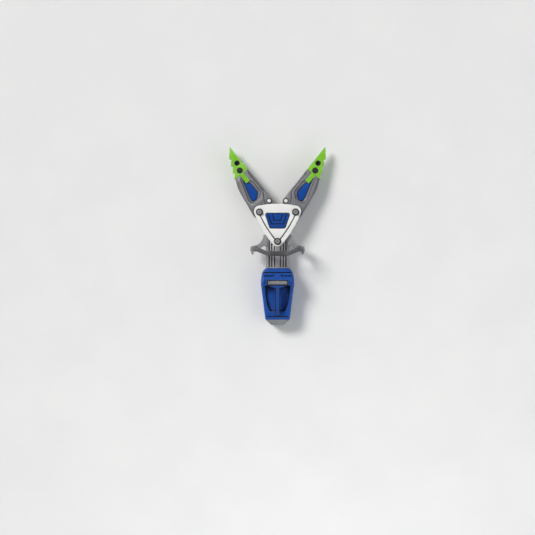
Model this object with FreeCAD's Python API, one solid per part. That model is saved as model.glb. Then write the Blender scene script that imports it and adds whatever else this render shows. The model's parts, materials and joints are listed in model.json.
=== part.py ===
"""Battery-powered hydraulic rescue spreader, lying on its back with its carry handle up.

The tool runs along +Y, from the battery at its tail to its two spreading tips, and it opens in a
level plane. From tail to tips it is made of:

- a battery pack that slides out of the tail of a two-part plastic housing,
- a motor and a pump in the housing, a rocker control on top and a grip over a hand well,
- a finned hydraulic cylinder, with a carry handle that stands on two brackets,
- a yoke of two plates that hold the pivots of two forged arms,
- a ram and crosshead that swing the arms through two links,
- two toothed tips, each held on its arm by a tongue and a sprung lock button.

Everything is drawn about the tool's middle plane (z = 0) and its tail (y = 0), and placed at the end.
A right arm is drawn closed and about its own pivot, as (u, v): u runs inboard and v along the arm.
"""

import FreeCAD
import Part

import math
import os

# ---- driving dimensions, in millimetres and degrees -------------------------------------------------
PIVOT_X, PIVOT_Y = 90.0, 562.5  # arm pivots, from the middle and from the tail
OPEN_ANGLE = 38.7  # each arm, from closed to the stored pose
REST_HEIGHT = 60.0  # middle plane above the floor
GAP = 0.4  # between pieces that move apart

ARM_FACE_U = 89.0  # flat inner face, 1 mm short of the tool's middle when closed
ARM_END_V = 204.0  # where the arm ends and the tip begins
HUB_R, HUB_HALF, THRUST_T = 36.0, 30.0, 1.6
PIN_R, BUSH_R = 16.0, 19.0  # arm pivot pin, and the outside of its bush
LINK_PIN_U, LINK_PIN_V, LINK_PIN_R = 72.6, 14.2, 8.0
LUG_HALF, FORK_HALF, LINK_HALF = 26.0, 11.5, 11.0

LINK_LENGTH, LINK_EYE_R = 80.0, 16.0
CROSS_PIN_X, CROSS_PIN_R = 20.0, 7.0
CROSS_EYE_R, CROSS_HOLE_R = 17.0, 12.1  # link's inner eye, with room round the crosshead's pin

TIP_END_V, FIRST_TOOTH, TEETH = 346.0, (47.4, 301.4), 4
TOOTH_PITCH, TOOTH_BACK = (-14.5, -32.3), (6.2, -9.6)
CHAIN_U, CHAIN_V, CHAIN_R, CHAIN_BUSH_R, CHAIN_HALF = 65.3, 261.0, 9.0, 13.5, 14.6
LOCK_U, LOCK_V, LOCK_R = 53.4, 223.5, 15.0
TANG_U, TANG_WIDTH, TANG_V, TANG_Z = 49.5, 23.0, 153.0, 12.0
TONGUE_U, TONGUE_WIDTH, TONGUE_V, TONGUE_HALF = 53.4, 28.0, 246.0, 7.0

PLATE_IN, PLATE_OUT = 32.0, 44.0  # faces of a yoke plate
TAIL_BOLT_Y, BOLT_R, BOLT_HEAD_R, BOLT_HEAD_T = 416.5, 6.0, 11.5, 13.0
WASHER_R, WASHER_T = 17.5, 3.0

BARREL_Y0, BARREL_Y1, BARREL_A, BARREL_B = 283.0, 455.0, 59.5, 48.0
BORE_R, BORE_END_Y, ROD_R = 30.0, 388.0, 16.0
RAM_AHEAD = 13.6  # ram's travel from the stored pose to fully open

HOUSING_Y0, HOUSING_Y1, WALL, SPLIT_Z = 27.0, 260.0, 4.0, 8.0
RIM_Z, HEAD_Z, WELL_FLOOR = 48.0, 84.0, 28.0
GRIP_X, ROCKER_Y, ROCKER_X = 11.5, 211.0, 48.0
BATTERY_X, BATTERY_Z0, BATTERY_Z1, BATTERY_Y1 = 38.0, -53.0, 21.0, 158.0

HANDLE_R, HANDLE_X, HANDLE_Y, HANDLE_Z = 11.0, 51.0, 355.0, 118.0
HANDLE_FOOT_X, HANDLE_FOOT_Y, BRACKET_Z = 110.0, 380.0, 28.0

Vector = FreeCAD.Vector
X_AXIS, Y_AXIS, Z_AXIS = Vector(1, 0, 0), Vector(0, 1, 0), Vector(0, 0, 1)
ORIGIN = Vector(0, 0, 0)


# ---- outlines ---------------------------------------------------------------------------------------
def rounded(corners):
    """A closed wire in the XY plane through (x, y, radius) corners. The radius may be left out."""
    points = [Vector(c[0], c[1], 0) for c in corners]
    arcs = []
    for i, corner in enumerate(corners):
        radius = corner[2] if len(corner) > 2 else 0.0
        back = (points[i - 1] - points[i]).normalize()
        ahead = (points[(i + 1) % len(points)] - points[i]).normalize()
        half_angle = math.acos(max(-1.0, min(1.0, back.dot(ahead)))) / 2
        reach = radius / math.tan(half_angle)
        middle = points[i]
        if radius:
            middle = points[i] + (back + ahead).normalize() * (radius / math.sin(half_angle) - radius)
        arcs.append((points[i] + back * reach, middle, points[i] + ahead * reach))
    edges = []
    for i, (start, middle, stop) in enumerate(arcs):
        following = arcs[(i + 1) % len(arcs)][0]
        if start.distanceToPoint(stop) > 1e-6:
            edges.append(Part.Arc(start, middle, stop).toShape())
        if stop.distanceToPoint(following) > 1e-6:
            edges.append(Part.LineSegment(stop, following).toShape())
    return Part.Wire(edges)


def both_sides(corners):
    """A wire that is the same left and right, from its right half's (x, y, radius) corners."""
    return rounded(corners + [(-c[0], *c[1:]) for c in reversed(corners)])


def belt(circles, bows):
    """A closed wire round (x, y, radius) circles, counter-clockwise.

    bows[i] is the radius of the arc that joins circle i to the next, or None for a straight line.
    """
    joins = []
    for i, (x1, y1, r1) in enumerate(circles):
        x2, y2, r2 = circles[(i + 1) % len(circles)]
        one, two = Vector(x1, y1, 0), Vector(x2, y2, 0)
        along = (two - one).normalize()
        gap = one.distanceToPoint(two)
        right = Vector(along.y, -along.x, 0)
        if bows[i] is None:
            lean = (r1 - r2) / gap
            out = along * lean + right * math.sqrt(1 - lean * lean)
            joins.append((one + out * r1, None, two + out * r2))
        else:
            far_one, far_two = bows[i] - r1, bows[i] - r2
            run = (far_one**2 - far_two**2 + gap**2) / (2 * gap)
            centre = one + along * run - right * math.sqrt(far_one**2 - run**2)
            start = centre + (one - centre).normalize() * bows[i]
            stop = centre + (two - centre).normalize() * bows[i]
            middle = centre + ((start + stop) * 0.5 - centre).normalize() * bows[i]
            joins.append((start, middle, stop))
    edges = []
    for i, (x, y, r) in enumerate(circles):
        start, stop = joins[i - 1][2], joins[i][0]
        turn0 = math.atan2(start.y - y, start.x - x)
        turn1 = math.atan2(stop.y - y, stop.x - x)
        half = (turn0 + (turn1 if turn1 > turn0 else turn1 + 2 * math.pi)) / 2
        crown = Vector(x + r * math.cos(half), y + r * math.sin(half), 0)
        edges.append(Part.Arc(start, crown, stop).toShape())
        first, via, last = joins[i]
        join = Part.Arc(first, via, last) if via else Part.LineSegment(first, last)
        edges.append(join.toShape())
    return Part.Wire(edges)


# ---- solids that many pieces share ------------------------------------------------------------------
def slab(wire, z0, z1):
    """A flat wire in the XY plane, made solid from z0 to z1."""
    face = Part.Face(wire)
    face.translate(Vector(0, 0, z0))
    return face.extrude(Vector(0, 0, z1 - z0))


def upright(wire, y0, y1):
    """A wire drawn in x and z, made solid from y0 to y1."""
    solid = slab(wire, -y1, -y0)
    solid.rotate(ORIGIN, X_AXIS, 90)
    return solid


def side_profile(points, half_width):
    """A solid whose outline from the side is (y, z) points, and that reaches half_width each way."""
    wire = Part.makePolygon([Vector(-half_width, y, z) for y, z in [*points, points[0]]])
    return Part.Face(wire).extrude(Vector(2 * half_width, 0, 0))


def post(x, y, z0, z1, radius):
    """A cylinder that stands from z0 to z1."""
    return Part.makeCylinder(radius, z1 - z0, Vector(x, y, z0), Z_AXIS)


def ring(x, y, z0, z1, outer, inner):
    return post(x, y, z0, z1, outer).cut(post(x, y, z0, z1, inner))


def rod(y0, y1, radius, x=0.0, z=0.0):
    """A cylinder along the tool."""
    return Part.makeCylinder(radius, y1 - y0, Vector(x, y0, z), Y_AXIS)


def block(x0, x1, y0, y1, z0, z1):
    return Part.makeBox(x1 - x0, y1 - y0, z1 - z0, Vector(x0, y0, z0))


def hexagon(x, y, z0, z1, flats):
    corner = flats / math.sqrt(3)
    turns = [math.radians(60 * k) for k in range(6)]
    return slab(rounded([(x + corner * math.cos(t), y + corner * math.sin(t)) for t in turns]), z0, z1)


def screw_head(x, y, z, radius, height):
    """A socket head on top of z, with a chamfered rim."""
    head = post(x, y, z, z + height, radius)
    head = head.makeChamfer(radius * 0.1, level_edges(head, z + height))
    return head.cut(hexagon(x, y, z + height * 0.6, z + height, radius * 0.7))


def coil(x, y, z0, z1, radius, wire_r, turns):
    """An open compression spring that stands on z0 and reaches z1."""
    pitch = (z1 - z0 - 2 * wire_r) / turns
    helix = Part.makeHelix(pitch, pitch * turns, radius)
    start = Part.Wire(Part.Circle(Vector(radius, 0, 0), Y_AXIS, wire_r).toShape())
    spring = Part.Wire(helix).makePipeShell([start], True, True)
    spring.translate(Vector(x, y, z0 + wire_r))
    return spring


def bent_bar(points, bend, radius):
    """A round bar along a line of points, with a bend of one radius at each inner point."""
    ends, edges = [], []
    for i in range(1, len(points) - 1):
        back = (points[i - 1] - points[i]).normalize()
        ahead = (points[i + 1] - points[i]).normalize()
        half_angle = math.acos(back.dot(ahead)) / 2
        reach = bend / math.tan(half_angle)
        middle = points[i] + (back + ahead).normalize() * (bend / math.sin(half_angle) - bend)
        ends.append((points[i] + back * reach, middle, points[i] + ahead * reach))
    at = points[0]
    for start, middle, stop in ends:
        edges.append(Part.LineSegment(at, start).toShape())
        edges.append(Part.Arc(start, middle, stop).toShape())
        at = stop
    edges.append(Part.LineSegment(at, points[-1]).toShape())
    section = Part.Wire(Part.Circle(points[0], (points[1] - points[0]).normalize(), radius).toShape())
    return Part.Wire(edges).makePipeShell([section], True, True)


def fuse(shapes):
    return shapes[0].multiFuse(shapes[1:]).removeSplitter()


def cut_all(body, cutters):
    for cutter in cutters:
        body = body.cut(cutter)
    return body


def mirrored(shape):
    return shape.mirror(ORIGIN, X_AXIS)


def flipped(shape):
    """The same shape on the other side of the tool's middle plane."""
    return shape.mirror(ORIGIN, Z_AXIS)


def level_edges(shape, *heights):
    """The edges that lie at one of these heights."""
    return [e for e in shape.Edges if any(all(abs(v.Z - z) < 1e-6 for v in e.Vertexes) for z in heights)]


# ---- arms, drawn closed about the right pivot -------------------------------------------------------
def uv(corners):
    """(u, v, radius) corners as (x, y, radius): inboard is -X on the right arm."""
    return [(-c[0], *c[1:]) for c in corners]


def band_uv(u, width, v0, v1, radius=0.0):
    """A rectangle in (u, v), centred on u."""
    near, far = u - width / 2, u + width / 2
    return rounded(uv([(near, v0, radius), (far, v0, radius), (far, v1), (near, v1)]))


THICKNESS = [(-60.0, HUB_HALF), (40.0, HUB_HALF), (72.0, 27.0), (ARM_END_V, 19.0), (TIP_END_V, 7.0)]


def half_thickness(v):
    """Half the arm's or tip's thickness at a distance along it."""
    for (v0, h0), (v1, h1) in zip(THICKNESS, THICKNESS[1:]):
        if v <= v1:
            return h0 + (h1 - h0) * (v - v0) / (v1 - v0)
    return THICKNESS[-1][1]


def taper(v0, v1, less=0.0):
    """The side profile of an arm or tip between two distances, thinner by less on each face."""
    bends = [v0, *[v for v, _ in THICKNESS if v0 < v < v1], v1]
    top = [(v, half_thickness(v) - less) for v in bends]
    return side_profile(top + [(v, -z) for v, z in reversed(top)], 120.0)


POCKET_RIM = [(30, 186), (-5, 79), (-2, 62), (11, 52), (39, 52), (68, 77), (68, 141), (59, 152), (42, 186)]
POCKET_FLOOR = [(34, 176), (6, 75), (8, 65), (15, 59), (32, 59), (57, 83), (56, 138), (50, 148), (39, 176)]
POCKET_Z, INSERT_T, REBATE, REBATE_W = 12.0, 4.0, 2.4, 3.0
SCRIBE_W, SCRIBE_T = 3.4, 2.2


def pocket():
    """The hollow with sloping walls in an arm's top face, and the shallow rebate round its rim."""
    tilt = math.degrees(math.atan((half_thickness(72) - half_thickness(ARM_END_V)) / (ARM_END_V - 72)))

    def rim(grow, drop):
        """The rim's outline on a plane that slopes with the arm's face, drop under it."""
        wire = rounded(uv([(u, v, 4.0) for u, v in POCKET_RIM]))
        if grow:
            wire = wire.makeOffset2D(grow)
        wire.translate(Vector(0, -72, 0))
        wire.rotate(ORIGIN, X_AXIS, -tilt)
        wire.translate(Vector(0, 72, half_thickness(72) - drop))
        return wire

    floor = rounded(uv([(u, v, 4.0) for u, v in POCKET_FLOOR]))
    floor.translate(Vector(0, 0, POCKET_Z))
    bowl = Part.makeLoft([floor, rim(0.0, REBATE)], True, True)
    step = Part.Face(rim(REBATE_W, REBATE)).extrude(Vector(0, 0, 12))
    return bowl, step


LEDGE = [(-60.0, LUG_HALF), (40.0, LUG_HALF), (72.0, 24.0), (194.0, 19.2)]  # half thickness at the inner edge


def arm():
    shoulder = ARM_FACE_U, -2, 15.8
    outline = [(9.0, ARM_END_V), (-12, 155, 200), (-40.5, -HUB_R, 38), (34, -HUB_R, 28), (40, -2, 8)]
    body = slab(rounded(uv([*outline, shoulder, (ARM_FACE_U, ARM_END_V)])), -40, 40)
    body = body.common(taper(-60, ARM_END_V))
    ledge = [(79, 194), (79, 74), (50, 26), (42, -10), (42, -60), (110, -60), (110, 194)]
    scribe = [(u + SCRIBE_W, v) for u, v in ledge[:5]] + [(u, v) for u, v in reversed(ledge[:5])]
    stay = side_profile(LEDGE + [(v, -z) for v, z in reversed(LEDGE)], 120.0)
    under = [(v, z - SCRIBE_T) for v, z in LEDGE]
    deeper = side_profile(under + [(v, -z) for v, z in reversed(under)], 120.0)
    fork = [(100, 34), (53, 34, 6), (44, -2, 10), (18, -50), (100, -50)]
    slot = slab(band_uv(TANG_U, TANG_WIDTH + 2 * GAP, TANG_V - GAP, 220, 2.0), TANG_Z, 40)
    cutters = [slab(rounded(uv(ledge)), -40, 40).cut(stay), slab(rounded(uv(scribe)), -40, 40).cut(deeper)]
    cutters += [slab(rounded(uv(fork)), -FORK_HALF, FORK_HALF), slot, flipped(slot)]
    for hollow in pocket():
        cutters += [hollow, flipped(hollow)]
    cutters.append(post(0, 0, -40, 40, BUSH_R))
    cutters.append(post(-LINK_PIN_U, LINK_PIN_V, -40, 40, LINK_PIN_R))
    body = cut_all(body, cutters)
    tongue = slab(band_uv(TONGUE_U, TONGUE_WIDTH, ARM_END_V - 4, TONGUE_V), -TONGUE_HALF, TONGUE_HALF)
    groove = slab(band_uv(LOCK_U, 12.0, LOCK_V - 7, TONGUE_V + 1), 0, TONGUE_HALF + 1)
    return fuse([body, tongue]).cut(groove)


def arm_insert():
    """A panel on the floor of each of an arm's two pockets."""
    outline = rounded(uv([(u, v, 4.0) for u, v in POCKET_FLOOR])).makeOffset2D(-2.6)
    panel = slab(outline, POCKET_Z, POCKET_Z + INSERT_T)
    panel = panel.cut(slab(band_uv(TANG_U, TANG_WIDTH + 4, TANG_V - 2, 220), 0, 40))
    return Part.makeCompound([panel, flipped(panel)])


def arm_bushings():
    """The pivot's bush, and the washer under each end of the link's pin."""
    washer = ring(-LINK_PIN_U, LINK_PIN_V, LUG_HALF, LUG_HALF + 1.6, 13.0, 9.2)
    bush = ring(0, 0, -HUB_HALF, HUB_HALF, BUSH_R, PIN_R + 0.05)
    return Part.makeCompound([bush, washer, flipped(washer)])


def link_pin():
    """The pin through the arm's lug and the link, with a domed button at each end."""
    x, y, top = -LINK_PIN_U, LINK_PIN_V, LUG_HALF + 4.8
    head = post(x, y, LUG_HALF, top, 9.0)
    head = head.makeFillet(2.5, level_edges(head, top))
    return fuse([post(x, y, -LUG_HALF, LUG_HALF, LINK_PIN_R), head, flipped(head)])


# ---- tips, drawn like the arms ----------------------------------------------------------------------
def tip():
    rear = ARM_END_V + GAP
    corners = [(ARM_FACE_U, rear), (ARM_FACE_U, TIP_END_V, 1), (ARM_FACE_U - 3.5, TIP_END_V, 1)]
    for k in range(TEETH):
        u = FIRST_TOOTH[0] + k * TOOTH_PITCH[0]
        v = FIRST_TOOTH[1] + k * TOOTH_PITCH[1]
        corners.append((u, max(v, rear), 0.6))
        if k < TEETH - 1:
            corners.append((u + TOOTH_BACK[0], v + TOOTH_BACK[1], 1.5))
    body = slab(rounded(uv(corners)), -40, 40).common(taper(rear, TIP_END_V))
    tang = slab(band_uv(TANG_U, TANG_WIDTH, TANG_V, 212, 2.0), TANG_Z + GAP, 40).common(taper(100, 212))
    body = fuse([body, tang, flipped(tang)])
    socket_top = TONGUE_HALF + GAP
    socket = slab(band_uv(TONGUE_U, TONGUE_WIDTH + 2 * GAP, ARM_END_V, TONGUE_V + 2), -socket_top, socket_top)
    cutters = [socket, post(-CHAIN_U, CHAIN_V, -40, 40, CHAIN_BUSH_R)]
    cutters.append(post(-LOCK_U, LOCK_V, 9.0, 40, LOCK_R + GAP))
    cutters.append(post(-LOCK_U, LOCK_V, 0, 10, 5.4))
    for v in range(int(rear) + 12, int(TIP_END_V) - 8, 9):
        serration = [(ARM_FACE_U - 1.5, v), (ARM_FACE_U + 1, v - 2.5), (ARM_FACE_U + 1, v + 2.5)]
        cutters.append(slab(rounded(uv(serration)), -40, 40))
    return cut_all(body, cutters)


def chain_socket():
    """The black insert for a pulling chain's pin: a blind hole from each side, with a wall between them."""
    body = post(-CHAIN_U, CHAIN_V, -CHAIN_HALF, CHAIN_HALF, CHAIN_BUSH_R)
    hole = post(-CHAIN_U, CHAIN_V, 1.5, CHAIN_HALF, CHAIN_R)
    return cut_all(body, [hole, flipped(hole)])


def tip_lock():
    """The lock's button, and the stem that stands in the tongue's groove."""
    top = 19.4
    button = post(-LOCK_U, LOCK_V, 14.6, top, LOCK_R)
    button = button.makeFillet(1.5, level_edges(button, top))
    button = button.cut(ring(-LOCK_U, LOCK_V, top - 0.8, top + 1, 10.5, 9.0))
    return fuse([button, post(-LOCK_U, LOCK_V, 3.4, 15, 5.0)])


def tip_lock_spring():
    """A stack of cone springs between the tip and the lock's button."""
    folds = [(6.0 if i % 2 == 0 else 8.4, 9.0 + 1.4 * i) for i in range(5)]
    section = folds + [(r + 1.2, z) for r, z in reversed(folds)]
    points = [Vector(r, 0, z) for r, z in section]
    stack = Part.Face(Part.makePolygon([*points, points[0]])).revolve(ORIGIN, Z_AXIS, 360)
    stack.translate(Vector(-LOCK_U, LOCK_V, 0))
    return stack


def on_right_arm(shape):
    """Carries a piece from its own pivot to the stored pose on the tool."""
    shape.rotate(ORIGIN, Z_AXIS, -OPEN_ANGLE)
    shape.translate(Vector(PIVOT_X, PIVOT_Y, 0))
    return shape


def stored(u, v):
    """Where a right arm's point (u, v) is in the stored pose."""
    angle = math.radians(OPEN_ANGLE)
    inboard = u * math.cos(angle) - v * math.sin(angle)
    ahead = u * math.sin(angle) + v * math.cos(angle)
    return PIVOT_X - inboard, PIVOT_Y + ahead


# ---- ram, crosshead and links -----------------------------------------------------------------------
LINK_X, LINK_Y = stored(LINK_PIN_U, LINK_PIN_V)
CROSS_Y = LINK_Y - math.sqrt(LINK_LENGTH**2 - (LINK_X - CROSS_PIN_X) ** 2)
CROSS_BACK = CROSS_Y - 33.0
PISTON_Y1 = BORE_END_Y - 2.0 - RAM_AHEAD
PISTON_Y0 = PISTON_Y1 - 26.0


def link():
    eyes = [(LINK_X, LINK_Y, LINK_EYE_R), (CROSS_PIN_X, CROSS_Y, CROSS_EYE_R)]
    body = slab(belt(eyes, [None, None]), -LINK_HALF, LINK_HALF)
    body = body.makeChamfer(1.5, level_edges(body, -LINK_HALF, LINK_HALF))
    body = body.cut(post(LINK_X, LINK_Y, -20, 20, LINK_PIN_R + 0.05))
    return body.cut(post(CROSS_PIN_X, CROSS_Y, -20, 20, CROSS_HOLE_R))


def crosshead():
    outline = [(26, CROSS_BACK, 3), (35, CROSS_Y - 12, 14), (35, CROSS_Y + 13, 13)]
    body = slab(both_sides(outline), -LUG_HALF, LUG_HALF)
    body = body.makeChamfer(1.5, level_edges(body, -LUG_HALF, LUG_HALF))
    body = body.cut(block(-60, 60, CROSS_Y - 22, CROSS_Y + 40, -FORK_HALF, FORK_HALF))
    holes = [post(x, CROSS_Y, -40, 40, CROSS_PIN_R) for x in (-CROSS_PIN_X, CROSS_PIN_X)]
    return cut_all(body, [rod(CROSS_BACK, CROSS_Y - 22, 10.0), *holes])


def crosshead_pins():
    pins = [post(x, CROSS_Y, -LUG_HALF, LUG_HALF, CROSS_PIN_R) for x in (-CROSS_PIN_X, CROSS_PIN_X)]
    return Part.makeCompound(pins)


def piston_rod():
    """The rod, with a spigot in the piston behind it and another in the crosshead."""
    tail = rod(PISTON_Y0, PISTON_Y1, 9.0)
    return fuse([rod(PISTON_Y1, CROSS_BACK, ROD_R), tail, rod(CROSS_BACK, CROSS_Y - 22, 10.0)])


def piston():
    body = rod(PISTON_Y0, PISTON_Y1, BORE_R - 0.1).cut(rod(PISTON_Y0, PISTON_Y1, 9.0))
    for y in (PISTON_Y0 + 6, PISTON_Y0 + 15):
        body = body.cut(rod(y, y + 5, BORE_R).cut(rod(y, y + 5, BORE_R - 2)))
    return body


# ---- yoke -------------------------------------------------------------------------------------------
CORNER_X, CORNER_Y, CORNER_R, NOSE_R = 88.0, 566.0, 29.5, 27.0
TOP_BOW, SIDE_BOW = 489.0, 560.0
BADGE_Z, BADGE_GAP = 39.0, 2.2


def badge_outline(grow=0.0):
    return both_sides([(36.5 + grow, 483.5 - grow, 9 + grow), (62 + grow, 556 + grow, 7 + grow)])


def yoke_outline(grow=0.0):
    nose = 0, TAIL_BOLT_Y, NOSE_R + grow
    corners = [(CORNER_X, CORNER_Y, CORNER_R + grow), (-CORNER_X, CORNER_Y, CORNER_R + grow)]
    return belt([nose, *corners], [SIDE_BOW + grow, TOP_BOW + grow, SIDE_BOW + grow])


def crease():
    """The shallow groove from the right pivot's washer to the tail bolt's washer."""
    depth, half = 2.0, 2.1
    arc = Part.Arc(Vector(87.5, 547, 0), Vector(53, 483, 0), Vector(14.5, 430, 0)).toShape().Curve
    centre, radius = arc.Center, arc.Radius
    band = ring(centre.x, centre.y, PLATE_OUT - depth, 60, radius + half, radius - half)
    reach = block(0, CORNER_X + 10, TAIL_BOLT_Y, PIVOT_Y, PLATE_OUT - depth, 60)
    return band.common(reach)


def yoke_plate():
    plate = slab(yoke_outline(), PLATE_IN, PLATE_OUT)
    plate = plate.makeFillet(3.0, level_edges(plate, PLATE_OUT))
    inlay = slab(badge_outline(BADGE_GAP), BADGE_Z, 60)
    groove = crease()
    cutters = [inlay, groove, mirrored(groove), post(0, TAIL_BOLT_Y, 0, 60, BOLT_R)]
    cutters += [post(x, PIVOT_Y, 0, 60, PIN_R) for x in (-PIVOT_X, PIVOT_X)]
    return cut_all(plate, cutters)


def yoke_badge():
    """The inlay, with a rim groove and two nested steps that stop short of its upper edge."""
    body = slab(badge_outline(), BADGE_Z, PLATE_OUT)
    body = body.makeChamfer(1.2, level_edges(body, PLATE_OUT))
    for bottom, foot_x, top_x, top_y in ((503.0, 30.0, 46.0, 550.0), (520.0, 16.7, 26.0, 553.0)):
        outer = [(foot_x + 1.8, bottom - 1.8, 6), (top_x + 1.8, top_y)]
        inner = [(foot_x - 1.8, bottom + 1.8, 4), (top_x - 1.8, top_y + 1)]
        line = slab(both_sides(outer), PLATE_OUT - 2, 60).cut(slab(both_sides(inner), 0, 60))
        body = body.cut(line)
    return body


def yoke_washers():
    """A washer under every bolt head and nut, and a thrust washer between each plate and hub."""
    spots = [(-PIVOT_X, PIVOT_Y), (PIVOT_X, PIVOT_Y), (0, TAIL_BOLT_Y)]
    top = [ring(x, y, PLATE_OUT, PLATE_OUT + WASHER_T, WASHER_R, BOLT_R) for x, y in spots]
    top += [ring(x, y, PLATE_IN - THRUST_T, PLATE_IN, 30.0, PIN_R) for x, y in spots[:2]]
    return Part.makeCompound(top + [flipped(w) for w in top])


def pivot_pin():
    return ring(PIVOT_X, PIVOT_Y, -PLATE_OUT, PLATE_OUT, PIN_R, BOLT_R)


def pivot_bolt(x):
    z = PLATE_OUT + WASHER_T
    return fuse([post(x, PIVOT_Y, -z - 9, z, BOLT_R), screw_head(x, PIVOT_Y, z, BOLT_HEAD_R, BOLT_HEAD_T)])


def pivot_nut(x):
    z = PLATE_OUT + WASHER_T
    nut = hexagon(x, PIVOT_Y, -z - BOLT_HEAD_T, -z, 2 * BOLT_HEAD_R)
    return nut.cut(post(x, PIVOT_Y, -z - 9, -z, BOLT_R))


def tail_bolts():
    z = PLATE_OUT + WASHER_T
    head = screw_head(0, TAIL_BOLT_Y, z, BOLT_HEAD_R, BOLT_HEAD_T)
    bolt = fuse([post(0, TAIL_BOLT_Y, 19, z, BOLT_R), head])
    return Part.makeCompound([bolt, flipped(bolt)])


# ---- cylinder ---------------------------------------------------------------------------------------
FIN_GROOVES = [(11.5, 18.0), (25.5, 32.0), (38.0, 45.0)]


def oval(a, b, y0, y1):
    shape = Part.Ellipse(ORIGIN, a, b).toShape()
    return upright(Part.Wire(shape), y0, y1)


def barrel():
    body = oval(BARREL_A, BARREL_B, BARREL_Y0, BARREL_Y1)
    for x0, x1 in FIN_GROOVES:
        fin_gap = block(x0, x1, BARREL_Y0 + 5, BARREL_Y1 + 1, 13, 60)
        body = cut_all(body, [fin_gap, mirrored(fin_gap), flipped(fin_gap), flipped(mirrored(fin_gap))])
    body = fuse([body, rod(BARREL_Y0, BARREL_Y1, 38.0)])
    flat = slab(yoke_outline(0.6), PLATE_IN, 60)
    cutters = [flat, flipped(flat), rod(BARREL_Y0, BORE_END_Y, BORE_R), rod(300, BARREL_Y1, ROD_R + 1.0)]
    for side in (-1, 1):
        bolt_hole = post(0, TAIL_BOLT_Y, min(0, side * 60), max(0, side * 60), BOLT_R)
        cutters.append(bolt_hole.cut(rod(400, 430, 18.9)))
        for y in BRACKET_SCREWS_Y:
            x = sorted((side * 48.0, side * 90.0))
            cutters.append(Part.makeCylinder(3.0, x[1] - x[0], Vector(x[0], y, 0), X_AXIS))
    cutters.append(rod(BARREL_Y1 - 12, BARREL_Y1, 22.0))
    return cut_all(body, cutters)


def rod_gland():
    """The collar that guides the rod out of the barrel, with the wiper's groove in its face."""
    body = rod(BARREL_Y1 - 12, BARREL_Y1 + 3, 22.0).cut(rod(BARREL_Y1 - 12, BARREL_Y1 + 3, ROD_R + 0.05))
    return body.cut(rod(BARREL_Y1 + 1, BARREL_Y1 + 3, 18.5))


def manifold():
    body = oval(54.0, 44.0, BARREL_Y0 - 21, BARREL_Y0)
    return fuse([body, rod(BARREL_Y0, BARREL_Y0 + 4, BORE_R)])


# ---- carry handle -----------------------------------------------------------------------------------
BRACKET_SCREWS_Y = (404.0, 438.0)


def handle_bracket():
    """The right wing: a plate that carries the handle's foot, with a hook and a flange on the barrel."""
    wing = [
        (50, 452, 2),
        (70, 449, 5),
        (74, 430, 26),
        (92, 402, 30),
        (134, 391, 7),
        (137, 374, 6),
        (127, 349, 2),
        (117, 356, 5),
        (121, 366, 4),
        (113, 368, 8),
        (96, 368, 6),
        (86, 383, 8),
        (62, 396, 8),
        (50, 392, 2),
    ]
    plate = slab(rounded(wing), BRACKET_Z - 12, BRACKET_Z)
    plate = plate.makeChamfer(1.5, level_edges(plate, BRACKET_Z, BRACKET_Z - 12))
    flange = block(50, 66, 394, 450, -14, BRACKET_Z - 4)
    flange = flange.makeFillet(3.0, level_edges(flange, -14))
    body = fuse([plate, flange])
    cutters = [oval(BARREL_A, BARREL_B, BARREL_Y0, BARREL_Y1 + 5)]
    cutters.append(post(HANDLE_FOOT_X, HANDLE_FOOT_Y, 0, 40, 4.0))
    cutters += [Part.makeCylinder(3.0, 40, Vector(48, y, 0), X_AXIS) for y in BRACKET_SCREWS_Y]
    cutters.append(slab(yoke_outline(1.0), PLATE_IN - 1, 60))
    return cut_all(body, cutters)


def handle_fasteners():
    """Two screws that hold each bracket on the barrel, and one bolt up into each of the bar's feet."""
    pieces = []
    for y in BRACKET_SCREWS_Y:
        head = Part.makeCylinder(5.5, 4.0, Vector(66, y, 0), X_AXIS)
        head = head.makeFillet(1.2, [e for e in head.Edges if abs(e.CenterOfMass.x - 70) < 1e-6])
        pieces.append(fuse([head, Part.makeCylinder(3.0, 18, Vector(48, y, 0), X_AXIS)]))
    under = BRACKET_Z - 12
    bolt = post(HANDLE_FOOT_X, HANDLE_FOOT_Y, under, BRACKET_Z + 22, 4.0)
    pieces.append(fuse([bolt, post(HANDLE_FOOT_X, HANDLE_FOOT_Y, under - 6, under, 7.5)]))
    return Part.makeCompound(pieces + [mirrored(p) for p in pieces])


def carry_handle():
    """The round bar, with a flanged foot at each end and a ribbed sleeve round its middle."""
    right = [
        Vector(HANDLE_X, HANDLE_Y, HANDLE_Z),
        Vector(HANDLE_FOOT_X, HANDLE_FOOT_Y, HANDLE_Z - 8),
        Vector(HANDLE_FOOT_X, HANDLE_FOOT_Y, BRACKET_Z),
    ]
    left = [Vector(-p.x, p.y, p.z) for p in reversed(right)]
    bar = bent_bar(left + right, 20.0, HANDLE_R)
    feet = [post(x, HANDLE_FOOT_Y, BRACKET_Z, BRACKET_Z + 6, 15.0) for x in (-HANDLE_FOOT_X, HANDLE_FOOT_X)]
    feet = [foot.makeChamfer(1.5, level_edges(foot, BRACKET_Z + 6)) for foot in feet]
    whole = fuse([bar, *feet])
    holes = [post(x, HANDLE_FOOT_Y, BRACKET_Z, BRACKET_Z + 22, 4.0) for x in (-HANDLE_FOOT_X, HANDLE_FOOT_X)]
    return cut_all(whole, holes)


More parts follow.
